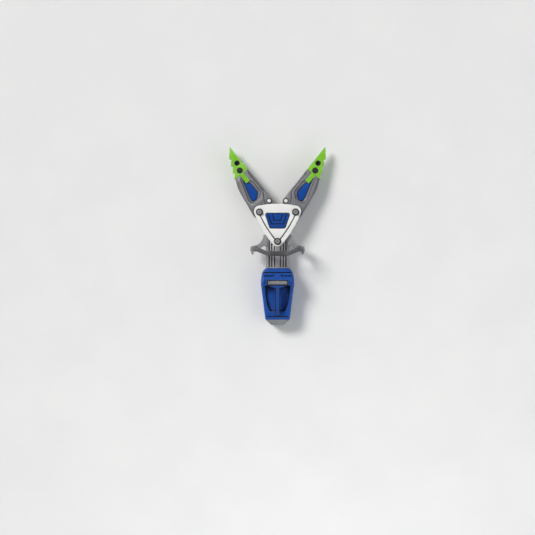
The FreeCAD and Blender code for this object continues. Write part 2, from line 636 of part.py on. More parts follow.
def handle_sleeve():
    """The rubber sleeve on the bar's straight middle."""
    reach = HANDLE_X - 14.0
    sleeve = Part.makeCylinder(HANDLE_R + 1.5, 2 * reach, Vector(-reach, HANDLE_Y, HANDLE_Z), X_AXIS)
    sleeve = sleeve.makeFillet(1.2, [e for e in sleeve.Edges if len(e.Vertexes) == 1])
    for k in range(-4, 5):
        x = k * 7.0
        gap = Part.makeCylinder(HANDLE_R + 4, 1.6, Vector(x - 0.8, HANDLE_Y, HANDLE_Z), X_AXIS)
        core = Part.makeCylinder(HANDLE_R + 0.7, 1.6, Vector(x - 0.8, HANDLE_Y, HANDLE_Z), X_AXIS)
        sleeve = sleeve.cut(gap.cut(core))
    bar = Part.makeCylinder(HANDLE_R, 2 * reach, Vector(-reach, HANDLE_Y, HANDLE_Z), X_AXIS)
    return sleeve.cut(bar)


# ---- housing ----------------------------------------------------------------------------------------
HOUSING_SECTIONS = [  # distance along the tool, half width, bottom, top and corner radius
    (HOUSING_Y0, 60.0, -57.0, 42.0, 12.0),
    (33.0, 61.5, -REST_HEIGHT - 0.6, RIM_Z - 2, 12.0),
    (68.0, 66.0, -REST_HEIGHT - 0.6, RIM_Z, 12.0),
    (150.0, 76.0, -REST_HEIGHT - 0.6, RIM_Z, 12.0),
    (182.0, 80.5, -REST_HEIGHT - 0.6, RIM_Z + 3, 12.0),
    (200.0, 82.5, -REST_HEIGHT - 0.6, HEAD_Z, 12.0),
    (222.0, 82.5, -REST_HEIGHT - 0.6, HEAD_Z, 12.0),
    (240.0, 80.5, -REST_HEIGHT - 0.6, 78.0, 16.0),
    (252.0, 79.0, -REST_HEIGHT - 0.6, 70.0, 20.0),
    (HOUSING_Y1, 78.0, -56.0, 62.0, 24.0),
]
WELL = [
    (37.5, 68.0, 5),
    (50.0, 95.0, 8),
    (53.5, 109.5, 10),
    (60.5, 149.0, 20),
    (62.5, 196.0, 4),
    (46.0, 197.0, 4),
    (29.0, 185.0, 8),
]
SHELL_SCREWS = [(-52.0, 52.0), (52.0, 52.0), (-64.0, 236.0), (64.0, 236.0)]


def section(y, half_x, z0, z1, radius):
    """A rounded rectangle across the tool."""
    wire = rounded([(half_x, z0, radius), (half_x, z1, radius), (-half_x, z1, radius), (-half_x, z0, radius)])
    wire.rotate(ORIGIN, X_AXIS, 90)
    wire.translate(Vector(0, y, 0))
    return wire


def through(sections):
    return Part.makeLoft([section(*s) for s in sections], True, True)


def housing_form(inset=0.0):
    """The closed outer form of the housing, or the same form with an inset all round but at its front."""
    sections = []
    for y, half_x, z0, z1, radius in HOUSING_SECTIONS:
        at = y + inset if y == HOUSING_Y0 else y
        sections.append((at, half_x - inset, z0 + inset, z1 - inset, radius - inset))
    if inset:
        y, half_x, z0, z1, radius = sections[-1]
        sections.append((y + 1, half_x, z0, z1, radius))
    return through(sections)


def well(inset=0.0):
    """The hand well between the tail deck and the control head, with a wall of inset round it."""
    corners = [(x + inset, y - inset if y < 70 else y + inset, r) for x, y, r in WELL[:-2]]
    if inset:
        return slab(both_sides([*corners, (46 + inset, 197 + inset, 4)]), WELL_FLOOR - inset, 100)
    return slab(both_sides([*corners, *WELL[-2:]]), WELL_FLOOR, 100)


def housing():
    """Both halves of the housing, as (upper, lower)."""
    room = housing_form(WALL).cut(well(WALL)).cut(block(-60, 60, 190, 230, 66, 100))
    body = housing_form().cut(room).cut(block(-99, 99, 0, 300, -99, -REST_HEIGHT))
    bay = block(-BATTERY_X - 3, BATTERY_X + 3, 20, 60, BATTERY_Z0 - 3, BATTERY_Z1 + 3)
    cutters = [bay, well(), block(-53, 53, 198, 224, 70, 100)]
    vent = block(17.5, 71, 242, 247.5, 40, 100)
    drop = block(17.5, 22.5, 242, 254.5, 40, 100)
    cutters += [vent, mirrored(vent), drop, mirrored(drop)]
    seam = block(-100, 100, 20, 270, SPLIT_Z - 0.8, SPLIT_Z + 0.8).cut(housing_form(1.2))
    tick = slab(rounded([(54, 225.5), (58, 222), (70.5, 207), (66.5, 203.5)]), HEAD_Z - 3, 100)
    cutters += [block(-52, 52, 40.5, 43.5, RIM_Z - 4.4, 60), seam, tick, mirrored(tick)]
    cutters += [post(x, y, -70, -REST_HEIGHT + 4, 5.0) for x, y in SHELL_SCREWS]
    body = cut_all(body, cutters)
    upper = body.common(block(-99, 99, 0, 300, SPLIT_Z, 200)).cut(rear_grip())
    return upper, body.common(block(-99, 99, 0, 300, -99, SPLIT_Z))


def housing_screws():
    """Four screws, set in the base."""
    screws = []
    for x, y in SHELL_SCREWS:
        screw = post(x, y, -REST_HEIGHT + 0.6, -REST_HEIGHT + 4, 5.0)
        screws.append(screw.cut(hexagon(x, y, -REST_HEIGHT, -REST_HEIGHT + 2.6, 5.0)))
    return Part.makeCompound(screws)


def housing_collar():
    """The shroud between the housing and the barrel."""
    y0, y1 = HOUSING_Y1, BARREL_Y0 - 0.5
    outer = through([(y0 + 3.6, 76.5, -55, 60.5, 24), (y1, 61, -50, 50, 34)])
    lip = through([(y0, 74, -52.5, 58, 22), (y0 + 5, 74, -52.5, 58, 22)])
    outer = outer.fuse(lip)
    inner = through([(y0 - 0.01, 71.5, -50.6, 55.5, 20), (y1 - 4, 59, -46, 46, 30)])
    return outer.cut(inner).cut(oval(54.0, 44.0, y0, BARREL_Y0))


def rear_grip():
    """The T-shaped grip that bridges the hand well, from the tail deck to the control head."""
    side = [
        (46, RIM_Z),
        (60, 74),
        (76, 82),
        (150, 85),
        (196.5, HEAD_Z),
        (196.5, 66),
        (182, 63),
        (96, 62),
        (84, 57),
        (78, 44),
        (76, WELL_FLOOR),
        (68, WELL_FLOOR),
        (68, RIM_Z),
    ]
    stem = [(GRIP_X, 44, 2), (GRIP_X, 182, 5), (30, 187, 6), (45, 199)]
    body = slab(both_sides(stem), 0, 100).common(side_profile(side, 60.0))
    well_room = slab(both_sides([(46, 198), (46, 240)]), 0, 100)
    body = body.cut(well_room)
    ridges = [block(-GRIP_X + 3, GRIP_X - 3, y, y + 2.2, 84.1, 100) for y in range(100, 176, 8)]
    return cut_all(body, ridges)


# ---- control ----------------------------------------------------------------------------------------
BEZEL_FLOOR, ROCKER_TOP, ROCKER_AXIS_Z = 74.0, HEAD_Z + 3.0, 80.5


def rocker_bezel():
    """The black tray in the control head, with a cheek at each end of the rocker's pin."""
    tray = slab(both_sides([(53, 198, 3), (53, 224, 3)]), 70, HEAD_Z + 1.0)
    tray = tray.cut(slab(both_sides([(49.5, 201, 2), (49.5, 221, 2)]), BEZEL_FLOOR, 100))
    return tray.cut(rod(199, 223, 2.0, 0, ROCKER_AXIS_Z))


def rocker_pin():
    return rod(199, 223, 2.0, 0, ROCKER_AXIS_Z)


def control_rocker():
    """The bar that is tipped left or right to close or open the arms."""
    y0, y1 = ROCKER_Y - 8.0, ROCKER_Y + 8.0
    outline = [
        (ROCKER_X, ROCKER_TOP - 7, 2),
        (ROCKER_X, ROCKER_TOP, 2),
        (26, ROCKER_TOP - 2.2, 60),
        (0.0, ROCKER_TOP - 2.6, 0),
    ]
    mirrored_side = [(-c[0], *c[1:]) for c in reversed(outline[:-1])]
    body = upright(rounded([*outline, *mirrored_side]), y0, y1)
    body = body.cut(rod(y0, y1, 2.05, 0, ROCKER_AXIS_Z))
    for x in range(30, 47, 4):
        ridge = block(x, x + 1.4, y0 + 3, y1 - 3, ROCKER_TOP - 1.4, ROCKER_TOP + 1)
        body = cut_all(body, [ridge, mirrored(ridge)])
    return body


def rocker_springs():
    top = ROCKER_TOP - 7
    return Part.makeCompound([coil(x, ROCKER_Y, BEZEL_FLOOR, top, 4.0, 0.6, 3) for x in (-36, 36)])


def control_board():
    """A circuit board under the tray, with its parts and a plug."""
    board = block(-42, 42, 203, 233, 62, 63.6)
    parts = [block(x, x + 7, 208, 216, 63.6, 65.6) for x in range(-36, 30, 14)]
    plug = block(-12, 12, 220, 229, 63.6, 65.6)
    return fuse([board, *parts, plug])


# ---- motor, pump and reservoir ----------------------------------------------------------------------
DRIVE_Z = -16.0


def motor():
    """A finned can with a flange and a shaft."""
    can = rod(167, 208, 33.0, 0, DRIVE_Z)
    for k in range(12):
        slot = block(-1.5, 1.5, 172, 202, 31, 40)
        slot.rotate(ORIGIN, Y_AXIS, 30 * k)
        slot.translate(Vector(0, 0, DRIVE_Z))
        can = can.cut(slot)
    flange = rod(208, 213, 36.0, 0, DRIVE_Z)
    return fuse([can, flange, rod(213, 229, 5.0, 0, DRIVE_Z), rod(162.4, 167, 12.0, 0, DRIVE_Z)])


def pump():
    """The block that holds the piston pump and its valve, bolted between motor and manifold."""
    body = block(-34, 34, 213, HOUSING_Y1 + 2, -50, 26)
    body = body.makeChamfer(4.0, [e for e in body.Edges if abs(e.Vertexes[0].Y - e.Vertexes[-1].Y) > 20])
    valve = rod(218, 250, 9.0, 44, 0)
    port = Part.makeCylinder(6.0, 16.0, Vector(30, 234, 0), X_AXIS)
    body = fuse([body, valve, port])
    return body.cut(rod(213, 229, 5.0, 0, DRIVE_Z))


def reservoir():
    """The oil bag's box on top of the pump, with its filler plug."""
    box = block(-46, 46, 205, 256, 26, 60)
    box = box.makeFillet(5.0, [e for e in box.Edges if abs(e.Vertexes[0].Z - e.Vertexes[-1].Z) > 20])
    feet = [block(x, x + 8, 208, 230, 60, 62) for x in (-38, 30)]
    return fuse([box, *feet])


# ---- battery ----------------------------------------------------------------------------------------
LATCH_Z, LATCH_X = -8.0, 14.0


def battery_bay():
    """The sleeve that the battery slides in, with the contact block at its inner end."""
    y1 = BATTERY_Y1 + 1
    outer = block(-BATTERY_X - 3, BATTERY_X + 3, HOUSING_Y0 + 0.5, y1 + 3, BATTERY_Z0 - 3, BATTERY_Z1 + 3)
    inner = block(-BATTERY_X - GAP, BATTERY_X + GAP, 20, y1, BATTERY_Z0 - GAP, BATTERY_Z1 + GAP)
    return outer.cut(inner)


def battery_terminals():
    """Two blades that stand back from the bay's end wall."""
    y1 = BATTERY_Y1 + 1
    return Part.makeCompound([block(x - 1, x + 1, y1 - 9, y1, -24, -10) for x in (-18.0, 18.0)])


def battery_case():
    """The pack's shell: hollow, with slots for the terminals in its front wall."""
    outer = block(-BATTERY_X, BATTERY_X, HOUSING_Y0 - GAP, BATTERY_Y1, BATTERY_Z0, BATTERY_Z1)
    outer = outer.makeFillet(4.0, [e for e in outer.Edges if abs(e.Vertexes[0].Y - e.Vertexes[-1].Y) > 20])
    inner_x = BATTERY_X - 3
    inner = block(-inner_x, inner_x, HOUSING_Y0 + 4, BATTERY_Y1 - 12, BATTERY_Z0 + 3, BATTERY_Z1 - 3)
    slots = [block(x - 2.5, x + 2.5, BATTERY_Y1 - 9, BATTERY_Y1, -26, -8) for x in (-18.0, 18.0)]
    return cut_all(outer, [inner, *slots])


def battery_cells():
    """Three layers of three cells, each with a shorter one end to end behind it."""
    rows, layers, radius = (-23.0, 0.0, 23.0), (-36.0, -13.0, 8.0), 10.4
    cells = [rod(HOUSING_Y0 + 5, HOUSING_Y0 + 70, radius, x, z - 1.0) for x in rows for z in layers]
    more = [rod(HOUSING_Y0 + 72, HOUSING_Y0 + 118, radius, x, z - 1.0) for x in rows for z in layers]
    return Part.makeCompound(cells + more)


def battery_end_cap():
    """The tapering end of the pack, with finger ridges on its slopes and a well for the latch."""
    body = through([(0, 31, -40, 24, 8), (HOUSING_Y0 - GAP, 60, -57, 41, 12)])
    well = block(-LATCH_X - GAP, LATCH_X + GAP, -1, 14, LATCH_Z - 9 - GAP, LATCH_Z + 9 + GAP)
    return body.cut(well)


def battery_latch():
    """The button that frees the pack, and the stem its spring sits on."""
    button = block(-LATCH_X, LATCH_X, 0.8, 8, LATCH_Z - 9, LATCH_Z + 9)
    button = button.makeFillet(1.2, [e for e in button.Edges if abs(e.CenterOfMass.y - 0.8) < 1e-6])
    ridges = [block(-10, 10, 0, 1.6, LATCH_Z + k * 4 - 0.8, LATCH_Z + k * 4 + 0.8) for k in (-1, 0, 1)]
    return cut_all(button, ridges)


def battery_latch_spring():
    spring = coil(0, 0, 8.0, 14.0, 4.0, 0.6, 3)
    spring.rotate(ORIGIN, X_AXIS, -90)
    spring.translate(Vector(0, 0, LATCH_Z))
    return spring


# ---- the whole tool ---------------------------------------------------------------------------------
upper_shell, lower_shell = housing()
plate_top, badge_top = yoke_plate(), yoke_badge()
right_bracket = handle_bracket()

pieces = {
    "yoke_plate_top": plate_top,
    "yoke_plate_bottom": flipped(plate_top),
    "yoke_badge_top": badge_top,
    "yoke_badge_bottom": flipped(badge_top),
    "yoke_washers": yoke_washers(),
    "yoke_tail_bolts": tail_bolts(),
    "pivot_nuts": Part.makeCompound([pivot_nut(x) for x in (-PIVOT_X, PIVOT_X)]),
    "pivot_bolts": Part.makeCompound([pivot_bolt(x) for x in (-PIVOT_X, PIVOT_X)]),
    "cylinder_barrel": barrel(),
    "rod_gland": rod_gland(),
    "cylinder_manifold": manifold(),
    "handle_fasteners": handle_fasteners(),
    "carry_handle": carry_handle(),
    "handle_sleeve": handle_sleeve(),
    "housing_upper": upper_shell,
    "housing_lower": lower_shell,
    "housing_collar": housing_collar(),
    "housing_screws": housing_screws(),
    "rear_grip": rear_grip(),
    "rocker_bezel": rocker_bezel(),
    "rocker_pin": rocker_pin(),
    "rocker_springs": rocker_springs(),
    "control_rocker": control_rocker(),
    "control_board": control_board(),
    "motor": motor(),
    "pump": pump(),
    "reservoir": reservoir(),
    "battery_bay": battery_bay(),
    "battery_terminals": battery_terminals(),
    "battery_case": battery_case(),
    "battery_cells": battery_cells(),
    "battery_end_cap": battery_end_cap(),
    "battery_latch": battery_latch(),
    "battery_latch_spring": battery_latch_spring(),
    "piston": piston(),
    "piston_rod": piston_rod(),
    "crosshead": crosshead(),
    "crosshead_pins": crosshead_pins(),
}

right_pieces = {
    "arm": on_right_arm(arm()),
    "arm_insert": on_right_arm(arm_insert()),
    "arm_bushings": on_right_arm(arm_bushings()),
    "link_pin": on_right_arm(link_pin()),
    "tip": on_right_arm(tip()),
    "chain_socket": on_right_arm(chain_socket()),
    "tip_lock": on_right_arm(tip_lock()),
    "tip_lock_spring": on_right_arm(tip_lock_spring()),
    "link": link(),
    "arm_pivot_pin": pivot_pin(),
    "handle_bracket": right_bracket,
}
for name, shape in right_pieces.items():
    pieces[name + "_right"] = shape
    pieces[name + "_left"] = mirrored(shape)

length = pieces["tip_right"].optimalBoundingBox(False).YMax
os.makedirs("parts", exist_ok=True)
for name, shape in pieces.items():
    placed = shape.copy()
    placed.translate(Vector(0, -length / 2, REST_HEIGHT))
    placed.exportStep(f"parts/{name}.step")

print(f"length {length:.4f}, crosshead pins at y {CROSS_Y:.3f}, link pins at {LINK_X:.3f}, {LINK_Y:.3f}")
points = {"tip point": (ARM_FACE_U, TIP_END_V), "chain": (CHAIN_U, CHAIN_V), "lock": (LOCK_U, LOCK_V)}
for label, place in points.items():
    x, y = stored(*place)
    print(f"{label} {x:.3f} {y:.3f}")
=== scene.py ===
"""Looks of the rescue spreader: materials, softened edges, floor, lights and camera round its CAD frame."""

import functools
import json
import math

import bmesh
import bpy
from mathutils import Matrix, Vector


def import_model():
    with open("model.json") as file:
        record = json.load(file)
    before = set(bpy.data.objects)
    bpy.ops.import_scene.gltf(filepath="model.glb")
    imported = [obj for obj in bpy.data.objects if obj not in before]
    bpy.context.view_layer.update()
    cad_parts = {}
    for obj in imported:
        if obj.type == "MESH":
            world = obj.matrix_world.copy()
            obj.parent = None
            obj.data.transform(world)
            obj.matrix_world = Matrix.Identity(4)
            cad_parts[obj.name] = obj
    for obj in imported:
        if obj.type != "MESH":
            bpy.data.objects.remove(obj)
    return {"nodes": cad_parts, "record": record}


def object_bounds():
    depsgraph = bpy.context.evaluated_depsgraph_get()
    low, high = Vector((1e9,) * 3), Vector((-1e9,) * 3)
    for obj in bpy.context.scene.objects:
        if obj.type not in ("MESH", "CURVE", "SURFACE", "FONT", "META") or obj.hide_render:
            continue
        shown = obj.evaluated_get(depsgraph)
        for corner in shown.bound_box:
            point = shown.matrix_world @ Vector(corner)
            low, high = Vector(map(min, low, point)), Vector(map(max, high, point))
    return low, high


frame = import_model()
cad_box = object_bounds()
nodes = frame["nodes"]

MM = 0.001
LEVEL = 0.9  # least vertical part of the normal of a face that counts as level
MIDDLE_Z, TAIL_Y = 0.060, cad_box[0][1]  # the tool's middle plane, and where its tail begins
swing = next(j for j in frame["record"]["behaviour"]["joints"] if j["name"] == "arm_left_swing")
ARM_PIVOT, OPEN_ANGLE = swing["pos_m"], math.radians(-swing["range_deg"][0])

# Grooves that are painted black, in millimetres: heights from the middle plane, places along the tool
# from its tail, and places along an arm from its pivot.
PLATE_CREASE_Z, BADGE_LINE_Z, LINE_RIM = (36.0, 42.6), (39.5, 43.4), 5.0
PLATE_SIDE = ((0.0, 416.5), (88.0, 566.0))  # a yoke plate's tail bolt and corner bolt: across, along
PLATE_MARGIN = 12.0  # rims are black up to this far outside the line between those bolts
ARM_BEND_V = (40.0, 72.0)  # where the faces of an arm bend
ARM_FACE = (30.0, 27.0, 204.0, 19.0)  # half thickness before and after the bend, a place beyond, and its own
ARM_LEDGE = (26.0, 24.0, 194.0, 19.2)
SCRIBE_DEPTH, REBATE_DEPTH, REBATE_REACH, POCKET_FLOOR_Z = (1.6, 2.8), (1.8, 3.0), 75.0, (11.8, 12.3)
COLLAR_SEAM_Y = (258.8, 264.6)
TAIL_SCORE_Y, TAIL_SCORE_X, TAIL_SCORE_Z = (39.4, 44.6), 53.0, 43.5
TICK_X, TICK_Y, TICK_Z = (53.5, 71.0), (203.0, 226.0), (80.9, 81.1)
# The hand well's floor height, and how far the occlusion reaches that paints shade as a black line in its
# corners.
WELL_FLOOR_Z, WELL_SHADE_REACH = (27.9, 28.1), 14.0
GRIP_STRIP_X, GRIP_STRIP_Z = 8.0, 74.0  # the rubber strips lie outside this and above this
GRIP_EDGE = ((11.5, 185.5), (30.0, 190.5), (45.0, 202.5))  # the strips' front edge: across, along


# ---- node helpers -----------------------------------------------------------------------------------
class Paint:
    """A material's node tree, with short names for the nodes that the finishes share."""

    def __init__(self, name):
        self.material = bpy.data.materials.new(name)
        self.material.use_nodes = True
        self.tree = self.material.node_tree
        self.shader = self.tree.nodes["Principled BSDF"]
        self.place = self.add("ShaderNodeTexCoord").outputs["Object"]

    def add(self, kind, **settings):
        node = self.tree.nodes.new(kind)
        for key, value in settings.items():
            setattr(node, key, value)
        return node

    def link(self, source, target):
        self.tree.links.new(source, target)

    def put(self, socket, value):
        """Sets a socket, or links it when the value is another node's output."""
        if isinstance(value, bpy.types.NodeSocket):
            self.link(value, socket)
        else:
            socket.default_value = value

    def math(self, operation, a, b=0.0, clamp=False):
        node = self.add("ShaderNodeMath", operation=operation, use_clamp=clamp)
        self.put(node.inputs[0], a)
        self.put(node.inputs[1], b)
        return node.outputs[0]

    def noise(self, scale, detail=3.0, roughness=0.55, stretch=(1, 1, 1), turn=0.0):
        mapping = self.add("ShaderNodeMapping")
        mapping.inputs["Scale"].default_value = stretch
        mapping.inputs["Rotation"].default_value = (0, 0, turn)
        self.link(self.place, mapping.inputs["Vector"])
        node = self.add("ShaderNodeTexNoise")
        self.link(mapping.outputs[0], node.inputs["Vector"])
        node.inputs["Scale"].default_value = scale
        node.inputs["Detail"].default_value = detail
        node.inputs["Roughness"].default_value = roughness
        return node.outputs["Fac"]

    def ramp(self, value, low, high, start=0.0, stop=1.0):
        """Maps value from low..high to start..stop, clamped."""
        node = self.add("ShaderNodeMapRange", clamp=True)
        self.put(node.inputs["Value"], value)
        node.inputs["From Min"].default_value = low
        node.inputs["From Max"].default_value = high
        node.inputs["To Min"].default_value = start
        node.inputs["To Max"].default_value = stop
        return node.outputs["Result"]

    def mix(self, factor, a, b):
        node = self.add("ShaderNodeMix", data_type="RGBA")
        self.put(node.inputs["Factor"], factor)
        self.put(node.inputs["A"], a)
        self.put(node.inputs["B"], b)
        return node.outputs["Result"]

    def rims(self, radius):
        """1 beside sharp edges and 0 on flats."""
        bevel = self.add("ShaderNodeBevel", samples=6)
        bevel.inputs["Radius"].default_value = radius
        normal = self.add("ShaderNodeNewGeometry").outputs["Normal"]
        dot = self.add("ShaderNodeVectorMath", operation="DOT_PRODUCT")
        self.link(bevel.outputs["Normal"], dot.inputs[0])
        self.link(normal, dot.inputs[1])
        return self.ramp(dot.outputs["Value"], 0.990, 0.93)

    def edges(self, radius):
        """1 beside sharp edges, broken up by noise."""
        worn = self.ramp(self.noise(110.0, 5.0, 0.75), 0.44, 0.58)
        return self.math("MULTIPLY", self.rims(radius), worn, clamp=True)

    def openness(self, distance, samples, alone):
        """1 on open faces, falling in corners within distance. alone leaves other pieces out."""
        occlusion = self.add("ShaderNodeAmbientOcclusion", samples=samples, only_local=alone)
        occlusion.inputs["Distance"].default_value = distance
        return occlusion.outputs["AO"]

    def crevice(self, distance, strength, alone):
        """From 0 on open faces to strength in corners and grooves."""
        return self.ramp(self.openness(distance, 8, alone), 0.75, 0.35, 0.0, strength)

    def bump(self, height, distance, under=None):
        node = self.add("ShaderNodeBump")
        node.inputs["Distance"].default_value = distance
        self.link(height, node.inputs["Height"])
        if under is not None:
            self.link(under, node.inputs["Normal"])
        return node.outputs["Normal"]

    def within(self, value, limits, start=0.0):
        """1 where value lies between two limits in millimetres, counted from start in metres."""
        low, high = (start + limit * MM for limit in limits)
        return self.both(self.math("GREATER_THAN", value, low), self.math("LESS_THAN", value, high))

    def both(self, *masks):
        """Product of two or more masks."""
        return functools.reduce(lambda a, b: self.math("MULTIPLY", a, b), masks)

    def either(self, *masks):
        """Highest of two or more masks."""
        return functools.reduce(lambda a, b: self.math("MAXIMUM", a, b), masks)

    def split(self, vector):
        node = self.add("ShaderNodeSeparateXYZ")
        self.link(vector, node.inputs[0])
        return node.outputs

    def level(self):
        """1 on faces that lie nearly level, whichever way up."""
        normal = self.split(self.add("ShaderNodeNewGeometry").outputs["True Normal"])
        return self.math("GREATER_THAN", self.math("ABSOLUTE", normal["Z"]), LEVEL)

    def away(self):
        """Distance from the tool's middle plane."""
        return self.math("ABSOLUTE", self.math("SUBTRACT", self.split(self.place)["Z"], MIDDLE_Z))


def rgba(colour):
    return (*colour, 1.0)


def shade(colour, factor):
    return rgba([min(1.0, c * factor) for c in colour])


WEAR_REACH, WORN_ROUGHNESS = 0.005, 0.32  # how far wear comes in from an edge, in metres, and its gloss
# colour of the dirt and painted shade that darken corners, grooves and joints
GRIME_AND_SHADE = (0.012, 0.011, 0.010, 1.0)
INK = (0.006, 0.006, 0.007, 1.0)
BARE = (0.42, 0.42, 0.43, 1.0)


def paint_black(p, mask, tone, gloss):
    return p.mix(mask, tone, INK), p.math("ADD", gloss, p.math("MULTIPLY", mask, 0.1), clamp=True)


def badge_ink(p, tone, gloss):
    """Blackens the badge's sunken lines and all its rims."""
    floors = p.both(p.within(p.away(), BADGE_LINE_Z), p.level())
    return paint_black(p, p.either(floors, p.rims(LINE_RIM * MM)), tone, gloss)


def plate_ink(p, tone, gloss):
    """Blackens a yoke plate's creases and the seat of its badge, with their rims, but not its outer edge."""
    place = p.split(p.place)
    (tail_x, tail_y), (corner_x, corner_y) = PLATE_SIDE
    run = math.hypot(corner_x - tail_x, corner_y - tail_y)
    sine, cosine = (corner_x - tail_x) / run, (corner_y - tail_y) / run
    ahead = p.math("SUBTRACT", place["Y"], TAIL_Y + tail_y * MM)
    across = p.math("MULTIPLY", p.math("ABSOLUTE", place["X"]), cosine)
    outward = p.math("SUBTRACT", across, p.math("MULTIPLY", ahead, sine))
    within_side = p.math("LESS_THAN", outward, PLATE_MARGIN * MM)
    within_top = p.math("LESS_THAN", ahead, (corner_y - tail_y + PLATE_MARGIN) * MM)
    floors = p.both(p.within(p.away(), PLATE_CREASE_Z), p.level())
    rims = p.both(p.rims(LINE_RIM * MM), within_side, within_top)
    return paint_black(p, p.either(floors, rims), tone, gloss)


def arm_ink(p, tone, gloss):
    """Blackens an arm's grooves, whose faces slope: the scribed line, the rebate and the pocket's floor."""
    place = p.split(p.place)
    out = p.math("SUBTRACT", p.math("ABSOLUTE", place["X"]), abs(ARM_PIVOT[0]))
    ahead = p.math("SUBTRACT", place["Y"], ARM_PIVOT[1])
    sine, cosine = math.sin(OPEN_ANGLE), math.cos(OPEN_ANGLE)
    along = p.math("ADD", p.math("MULTIPLY", out, sine), p.math("MULTIPLY", ahead, cosine))
    inward = p.math("SUBTRACT", p.math("MULTIPLY", ahead, sine), p.math("MULTIPLY", out, cosine))

    def depth_under(start, bent, end_v, end):
        """Depth under a face that falls from start to bent at the bend, then evenly to end at end_v."""
        bend_from, bend_to = (v * MM for v in ARM_BEND_V)
        near = p.ramp(along, bend_from, bend_to, 0.0, (bent - start) * MM)
        far = p.ramp(along, bend_to, end_v * MM, start * MM, (start + end - bent) * MM)
        return p.math("SUBTRACT", p.math("ADD", near, far), p.away())

    scribe = p.within(depth_under(*ARM_LEDGE), SCRIBE_DEPTH)
    rebate = p.within(depth_under(*ARM_FACE), REBATE_DEPTH)
    rebate = p.both(rebate, p.math("LESS_THAN", inward, REBATE_REACH * MM))
    grooves = p.either(scribe, rebate, p.within(p.away(), POCKET_FLOOR_Z))
    return paint_black(p, p.both(grooves, p.level()), tone, gloss)


def housing_ink(p, tone, gloss):
    """Blackens the collar's seam, the tail's score and the ticks, and paints shade as a black line in the
    hand well's lower corners.
    """
    place = p.split(p.place)
    out = p.math("ABSOLUTE", place["X"])
    seam = p.within(place["Y"], COLLAR_SEAM_Y, TAIL_Y)
    score = p.both(
        p.within(place["Y"], TAIL_SCORE_Y, TAIL_Y),
        p.math("LESS_THAN", out, TAIL_SCORE_X * MM),
        p.math("GREATER_THAN", place["Z"], MIDDLE_Z + TAIL_SCORE_Z * MM),
    )
    ticks = p.both(
        p.within(out, TICK_X), p.within(place["Y"], TICK_Y, TAIL_Y), p.within(place["Z"], TICK_Z, MIDDLE_Z)
    )
    # Painted shade: a black line where the hand well's floor meets its walls, where ambient occlusion is
    # deep.
    well_corner_shade = p.ramp(p.openness(WELL_SHADE_REACH * MM, 12, True), 0.82, 0.68)
    well_corner_shade = p.both(well_corner_shade, p.within(place["Z"], WELL_FLOOR_Z, MIDDLE_Z))
    return paint_black(p, p.either(seam, score, ticks, well_corner_shade), tone, gloss)


def grip_strips(p, tone, gloss):
    """Black rubber along both upper edges of the grip, out to the ends of its crossbar."""
    place = p.split(p.place)
    out = p.math("ABSOLUTE", place["X"])
    (stem_x, stem_y), (bend_x, bend_y), (end_x, end_y) = GRIP_EDGE
    bar = p.ramp(out, stem_x * MM, bend_x * MM, TAIL_Y + stem_y * MM, TAIL_Y + bend_y * MM)
    edge = p.math("ADD", bar, p.ramp(out, bend_x * MM, end_x * MM, 0.0, (end_y - bend_y) * MM))
    strip = p.both(
        p.math("GREATER_THAN", out, GRIP_STRIP_X * MM),
        p.math("LESS_THAN", place["Y"], edge),
        p.math("GREATER_THAN", place["Z"], MIDDLE_Z + GRIP_STRIP_Z * MM),
    )
    return paint_black(p, strip, tone, gloss)


